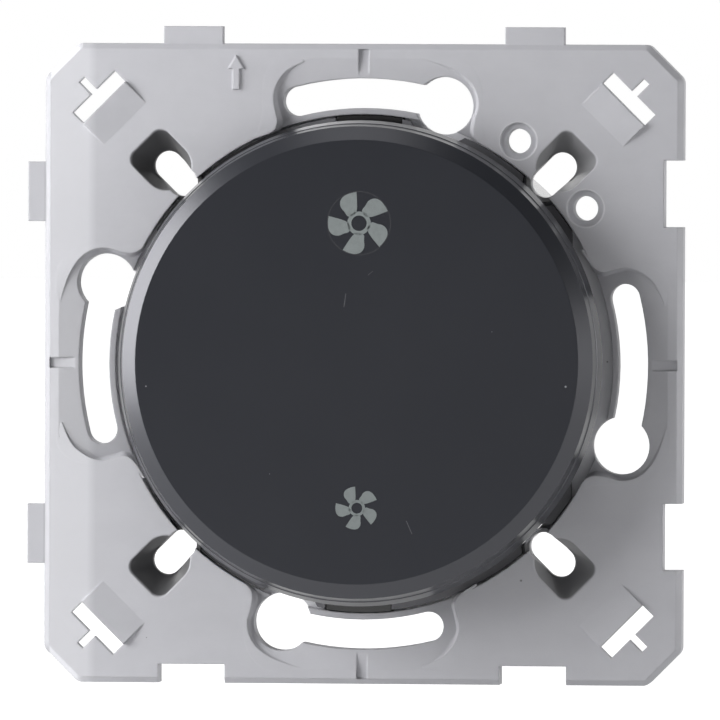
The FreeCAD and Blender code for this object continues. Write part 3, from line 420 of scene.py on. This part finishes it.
def smoothSpan(a, b, c, d, steps):  # points of the curve from b to c
    span = []
    for step in range(steps):
        t = step / steps
        square = (2 * a - 5 * b + 4 * c - d) * t * t
        cube = (3 * b - a - 3 * c + d) * t ** 3
        span.append(0.5 * (2 * b + (c - a) * t + square + cube))
    return span


def smoothLoop(points, steps):  # a closed curve through the points
    loop = []
    count = len(points)
    for index in range(count):
        corners = [Vector(points[(index + shift) % count]) for shift in (-1, 0, 1, 2)]
        loop += smoothSpan(*corners, steps)
    return loop


def smoothLine(points, steps):  # an open curve through the points
    ends = [2 * Vector(points[0]) - Vector(points[1])] + [Vector(p) for p in points]
    ends.append(2 * ends[-1] - ends[-2])
    line = []
    for index in range(len(points) - 1):
        line += smoothSpan(*ends[index:index + 4], steps)
    return line + [Vector(points[-1])]


def plaque(mesh, loop, thickness):  # a filled outline just proud of the face
    low = [mesh.verts.new(onFace(p.x, p.y, 0.0)) for p in loop]
    high = [mesh.verts.new(onFace(p.x, p.y, thickness)) for p in loop]
    mesh.faces.new(high)
    mesh.faces.new(low[::-1])
    for index in range(len(loop)):
        after = (index + 1) % len(loop)
        mesh.faces.new((low[index], low[after], high[after], high[index]))


def annulus(mesh, height, inner, outer, thickness):  # a flat ring just proud of the face
    steps = signLook["ringSteps"]
    rings = []
    for radius, lift in ((inner, 0.0), (outer, 0.0), (outer, thickness), (inner, thickness)):
        ring = []
        for step in range(steps):
            turn = 2 * math.pi * step / steps
            across = signLook["across"] + radius * math.cos(turn)
            spot = onFace(across, height + radius * math.sin(turn), lift)
            ring.append(mesh.verts.new(spot))
        rings.append(ring)
    for index in range(4):
        here, there = rings[index], rings[(index + 1) % 4]
        for step in range(steps):
            after = (step + 1) % steps
            mesh.faces.new((here[step], here[after], there[after], there[step]))


def meshPiece(name, mesh, material, body):
    bmesh.ops.recalc_face_normals(mesh, faces=mesh.faces)
    data = bpy.data.meshes.new(name)
    mesh.to_mesh(data)
    mesh.free()
    data.materials.append(material)
    piece = bpy.data.objects.new(name, data)
    bpy.context.scene.collection.objects.link(piece)
    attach(piece, body)


def signMaterial(name, color):
    look = signLook
    roughness = look["roughness"]
    paint = Paint(name, {"Specular IOR Level": look["specular"]})
    grain = paint.noise(*look["grain"])
    shade = mottled(paint, grain, color, look["mottle"])
    return paint.finish(Base_Color=shade, Roughness=roughness["base"] + grain * roughness["grain"])


def makeSigns():
    look = signLook
    ink = signMaterial("sign_grey", look["color"])
    for name, sign in signs.items():
        mesh = bmesh.new()
        size = sign["radius"] * mm / look["unit"]
        middle = sign["height"] * mm
        shift = Vector((look["across"], middle))
        for blade in range(look["blades"]):
            turn = Matrix.Rotation(2 * math.pi * blade / look["blades"], 2)
            points = [turn @ Vector(p) * size + shift for p in look["blade"]]
            plaque(mesh, smoothLoop(points, look["bladeSteps"]), look["thickness"])
        annulus(mesh, middle, sign["hole"] * mm, sign["hub"] * mm, look["thickness"])
        meshPiece(name, mesh, ink, "rocker")
    trace = look["trace"]
    faint = signMaterial("sign_trace", trace["color"])
    mesh = bmesh.new()
    middle = signs["fan_sign_large"]["height"] * mm
    annulus(mesh, middle, trace["inner"], trace["outer"], trace["thickness"])
    meshPiece("fan_sign_trace", mesh, faint, "rocker")


makeSigns()
say("fan signs on the plate")


# the curved shoulders of the four screw recesses, flush with the frame's front: each is drawn
# in x and z at the top, inner along its edge over the recess, middle along the frame's own edge
recessLook = {
    "front": -4.0, "reach": 33.9, "slope": 10.8, "lift": 0.012, "sink": 0.03,
    "cove": [(0.55, 1.0), (0.28, 0.85), (0.08, 0.50)],  # how far in, and share of the depth
    "skirt": 0.8, "under": 0.06, "fadeFrom": 0.75, "crestPower": 6, "steps": 7,
    "ends": ["small", "narrow", "narrow", "narrow"],  # of the top, right, bottom and left recess
    "narrow": {
        "side": -1,
        "inner": [
            (11.75, 24.85), (10.90, 25.50), (10.40, 26.20), (10.33, 26.90),
            (10.57, 27.80), (10.82, 29.00), (10.64, 30.10), (10.15, 31.10),
            (9.28, 32.20), (8.00, 32.95), (6.60, 33.50),
        ],
        "middle": [
            (12.10, 24.63), (11.85, 25.50), (11.60, 26.00), (11.26, 27.00),
            (11.12, 28.00), (11.12, 28.90), (11.12, 30.10), (10.95, 31.70),
            (10.20, 33.10), (9.00, 33.95), (7.20, 34.15),
        ],
    },
    "small": {
        "side": -1,
        "inner": [
            (11.33, 25.20), (10.42, 25.55), (9.83, 26.05), (9.59, 26.90),
            (9.75, 27.70), (10.00, 28.90), (9.98, 30.10), (9.60, 31.20),
            (8.80, 32.30), (7.84, 32.95), (6.60, 33.50),
        ],
        "middle": [
            (12.10, 24.93), (11.85, 25.50), (11.60, 26.00), (11.26, 27.00),
            (11.12, 28.00), (11.12, 28.90), (11.12, 30.10), (10.95, 31.70),
            (10.20, 33.10), (9.00, 33.95), (7.20, 34.15),
        ],
    },
    "keyhole": {
        "side": 1,
        "inner": [
            (12.80, 24.57), (12.36, 25.20), (12.20, 26.00), (12.40, 27.30),
            (12.74, 28.50), (12.64, 29.80), (12.10, 31.00), (11.10, 32.00),
            (9.80, 32.75), (8.20, 33.35), (6.60, 33.75),
        ],
        "middle": [
            (14.10, 23.85), (13.50, 24.90), (13.15, 26.00), (13.09, 27.40),
            (13.09, 28.80), (13.05, 30.40), (12.60, 31.90), (11.60, 33.20),
            (10.20, 34.00), (8.20, 34.15), (6.60, 34.15),
        ],
    },
}


def shoulderRows(end):  # lines from the recess's floor up to the front, each with its depths
    look = recessLook
    inner = smoothLine(end["inner"], look["steps"])
    middle = smoothLine(end["middle"], look["steps"])
    ways = [(there - here).normalized() for here, there in zip(inner, middle)]
    outer = [there + way * look["skirt"] for there, way in zip(middle, ways)]
    last = len(inner) - 1
    start = look["fadeFrom"]
    fades = [max(0.0, index / last - start) / (1 - start) for index in range(last + 1)]
    rise = math.tan(math.radians(look["slope"]))
    depths = [(look["reach"] - spot.y) * rise + look["under"] for spot in inner]
    rows = []
    for shift, share in look["cove"]:
        line = [spot - way * shift * (1 - fade) for spot, way, fade in zip(inner, ways, fades)]
        rows.append((line, [look["front"] + depth * share for depth in depths]))
    top = look["front"] - look["lift"]
    drop = look["lift"] + look["sink"]
    rows.append((inner, [top + drop * fade for fade in fades]))
    rows.append((middle, [top + drop * fade ** look["crestPower"] for fade in fades]))
    rows.append((outer, [top + drop] * (last + 1)))
    return rows


def addShoulder(mesh, end, turn):
    spin = Matrix.Rotation(turn, 3, "Y")
    lines = []
    for line, depths in shoulderRows(end):
        spots = [Vector((end["side"] * p.x, y, p.y)) * mm for p, y in zip(line, depths)]
        lines.append([mesh.verts.new(spin @ spot) for spot in spots])
    for low, high in zip(lines, lines[1:]):
        for index in range(len(low) - 1):
            mesh.faces.new((low[index], low[index + 1], high[index + 1], high[index]))
    for index in (0, -1):
        mesh.faces.new([line[index] for line in lines])


def makeShoulders():
    mesh = bmesh.new()
    for quarter, end in enumerate(recessLook["ends"]):
        for name in (end, "keyhole"):
            addShoulder(mesh, recessLook[name], math.pi / 2 * quarter)
    meshPiece("recess_shoulders", mesh, finishes["frame_plastic"], "root")


makeShoulders()
say("shoulders of the screw recesses")


# dark lips behind the frame, where the housing's two tongues close their windows
lipLook = {
    "left": -3.9, "right": 4.9, "low": 24.9, "radius": 28.15,
    "near": 0.03, "far": 0.40, "steps": 12,
}


def makeLips():
    look = lipLook
    mesh = bmesh.new()
    arc = []
    for step in range(look["steps"] + 1):
        x = look["left"] + (look["right"] - look["left"]) * step / look["steps"]
        arc.append((x, math.sqrt(look["radius"] ** 2 - x * x)))
    loop = [(look["right"], look["low"]), (look["left"], look["low"])] + arc
    for side in (1, -1):
        rows = []
        for depth in (look["near"], look["far"]):
            spots = [Vector((side * x, depth, side * z)) * mm for x, z in loop]
            rows.append([mesh.verts.new(spot) for spot in spots])
        mesh.faces.new(rows[0])
        mesh.faces.new(rows[1][::-1])
        for index in range(len(loop)):
            after = (index + 1) % len(loop)
            mesh.faces.new((rows[0][index], rows[0][after], rows[1][after], rows[1][index]))
    meshPiece("latch_lips", mesh, finishes["housing_plastic"], "root")


makeLips()
say("lips of the latches")


# floor, light and camera
stageLook = {
    "floor": grey(0.86), "duller": 0.97, "mottle": (9, 3, 0.5),
    "roughness": 0.8, "specular": 0.2, "drop": 3.0 * mm, "half": 3.0,
    "white": 1.45, "share": 0.72, "mirrored": 0.85,
}
lightLook = {
    "world": 0.12,
    "horizon": 0.3,  # how softly the room turns white behind the switch
    "lamps": [
        {"name": "window", "place": (-0.320, -0.140, 0.105), "size": 0.31, "power": 2.07},
        {"name": "right", "place": (0.45, -0.09, 0.05), "size": 0.22, "power": 0.66},
        {"name": "above", "place": (-0.05, -0.25, 0.50), "size": 0.30, "power": 0.3},
        {"name": "behind", "place": (-0.30, 0.60, 0.45), "size": 0.50, "power": 2.0},
    ],
}
cameraLook = {
    "azimuth": 5.2, "elevation": 1.2, "roll": 0.2, "distance": 1.7,
    "aim": (-0.30, -4.0, 0.455),  # in mm
    "scale": 9.02, "width": 720,  # pixels for each mm, and across the picture
    "sensor": 36, "near": 0.1, "far": 20,
}


def makeFloor():
    look = stageLook
    data = bpy.data.meshes.new("floor")
    half = look["half"]
    low = cadBox[0].z - look["drop"]
    corners = [(-half, -half, low), (half, -half, low), (half, half, low), (-half, half, low)]
    data.from_pydata(corners, [], [(0, 1, 2, 3)])
    floor = bpy.data.objects.new("floor", data)
    bpy.context.scene.collection.objects.link(floor)
    fixed = {"Roughness": look["roughness"], "Specular IOR Level": look["specular"]}
    paint = Paint("pale_floor", fixed)
    duller = darker(look["floor"], look["duller"])
    paint.finish(Base_Color=paint.mix(paint.noise(*look["mottle"]), look["floor"], duller))
    plain = Socket(paint, paint.shader.outputs[0])
    white = paint.node("ShaderNodeEmission", {}, {"Strength": look["white"]})
    share = paint.seen(look["mirrored"]) * look["share"]
    surface = paint.node("ShaderNodeMixShader", {}, {0: share, 1: plain, 2: white})
    paint.feed(paint.tree.nodes["Material Output"].inputs["Surface"], surface)
    data.materials.append(paint.material)


def makeWorld():  # a soft even room, white where it is looked at and behind the switch
    world = bpy.data.worlds.new("soft_room")
    bpy.context.scene.world = world
    world.use_nodes = True
    sky = Graph(world.node_tree)
    back = world.node_tree.nodes["Background"]
    back.inputs["Color"].default_value = (1, 1, 1, 1)
    ambient = lightLook["world"]
    ahead = sky.split(sky.node("ShaderNodeTexCoord", {}, {}, "Generated"))[1]
    behind = sky.ramp(ahead, -lightLook["horizon"], lightLook["horizon"])
    sky.feed(back.inputs["Strength"], sky.seen(behind) * (1 - ambient) + ambient)


def makeLamps():
    for look in lightLook["lamps"]:
        light = bpy.data.lights.new(look["name"], "AREA")
        light.shape = "DISK"
        light.size = look["size"]
        light.energy = look["power"]
        lamp = bpy.data.objects.new(look["name"], light)
        lamp.location = look["place"]
        lamp.rotation_euler = (-Vector(look["place"])).to_track_quat("-Z", "Y").to_euler()
        bpy.context.scene.collection.objects.link(lamp)


def makeCamera():
    look = cameraLook
    camera = bpy.data.cameras.new("camera")
    camera.sensor_width = look["sensor"]
    camera.lens = look["scale"] * look["distance"] / mm * camera.sensor_width / look["width"]
    camera.clip_start = look["near"]
    camera.clip_end = look["far"]
    holder = bpy.data.objects.new("camera", camera)
    around = math.radians(look["azimuth"])
    above = math.radians(look["elevation"])
    back = Vector((
        math.sin(around) * math.cos(above),
        -math.cos(around) * math.cos(above),
        math.sin(above),
    ))
    holder.location = Vector(look["aim"]) * mm + back * look["distance"]
    turned = (-back).to_track_quat("-Z", "Y").to_matrix()
    turned = turned @ Matrix.Rotation(math.radians(look["roll"]), 3, "Z")
    holder.rotation_euler = turned.to_euler()
    bpy.context.scene.collection.objects.link(holder)
    bpy.context.scene.camera = holder


makeFloor()
makeWorld()
makeLamps()
makeCamera()
bpy.context.scene.view_settings.view_transform = "Standard"
say("floor, light and camera")
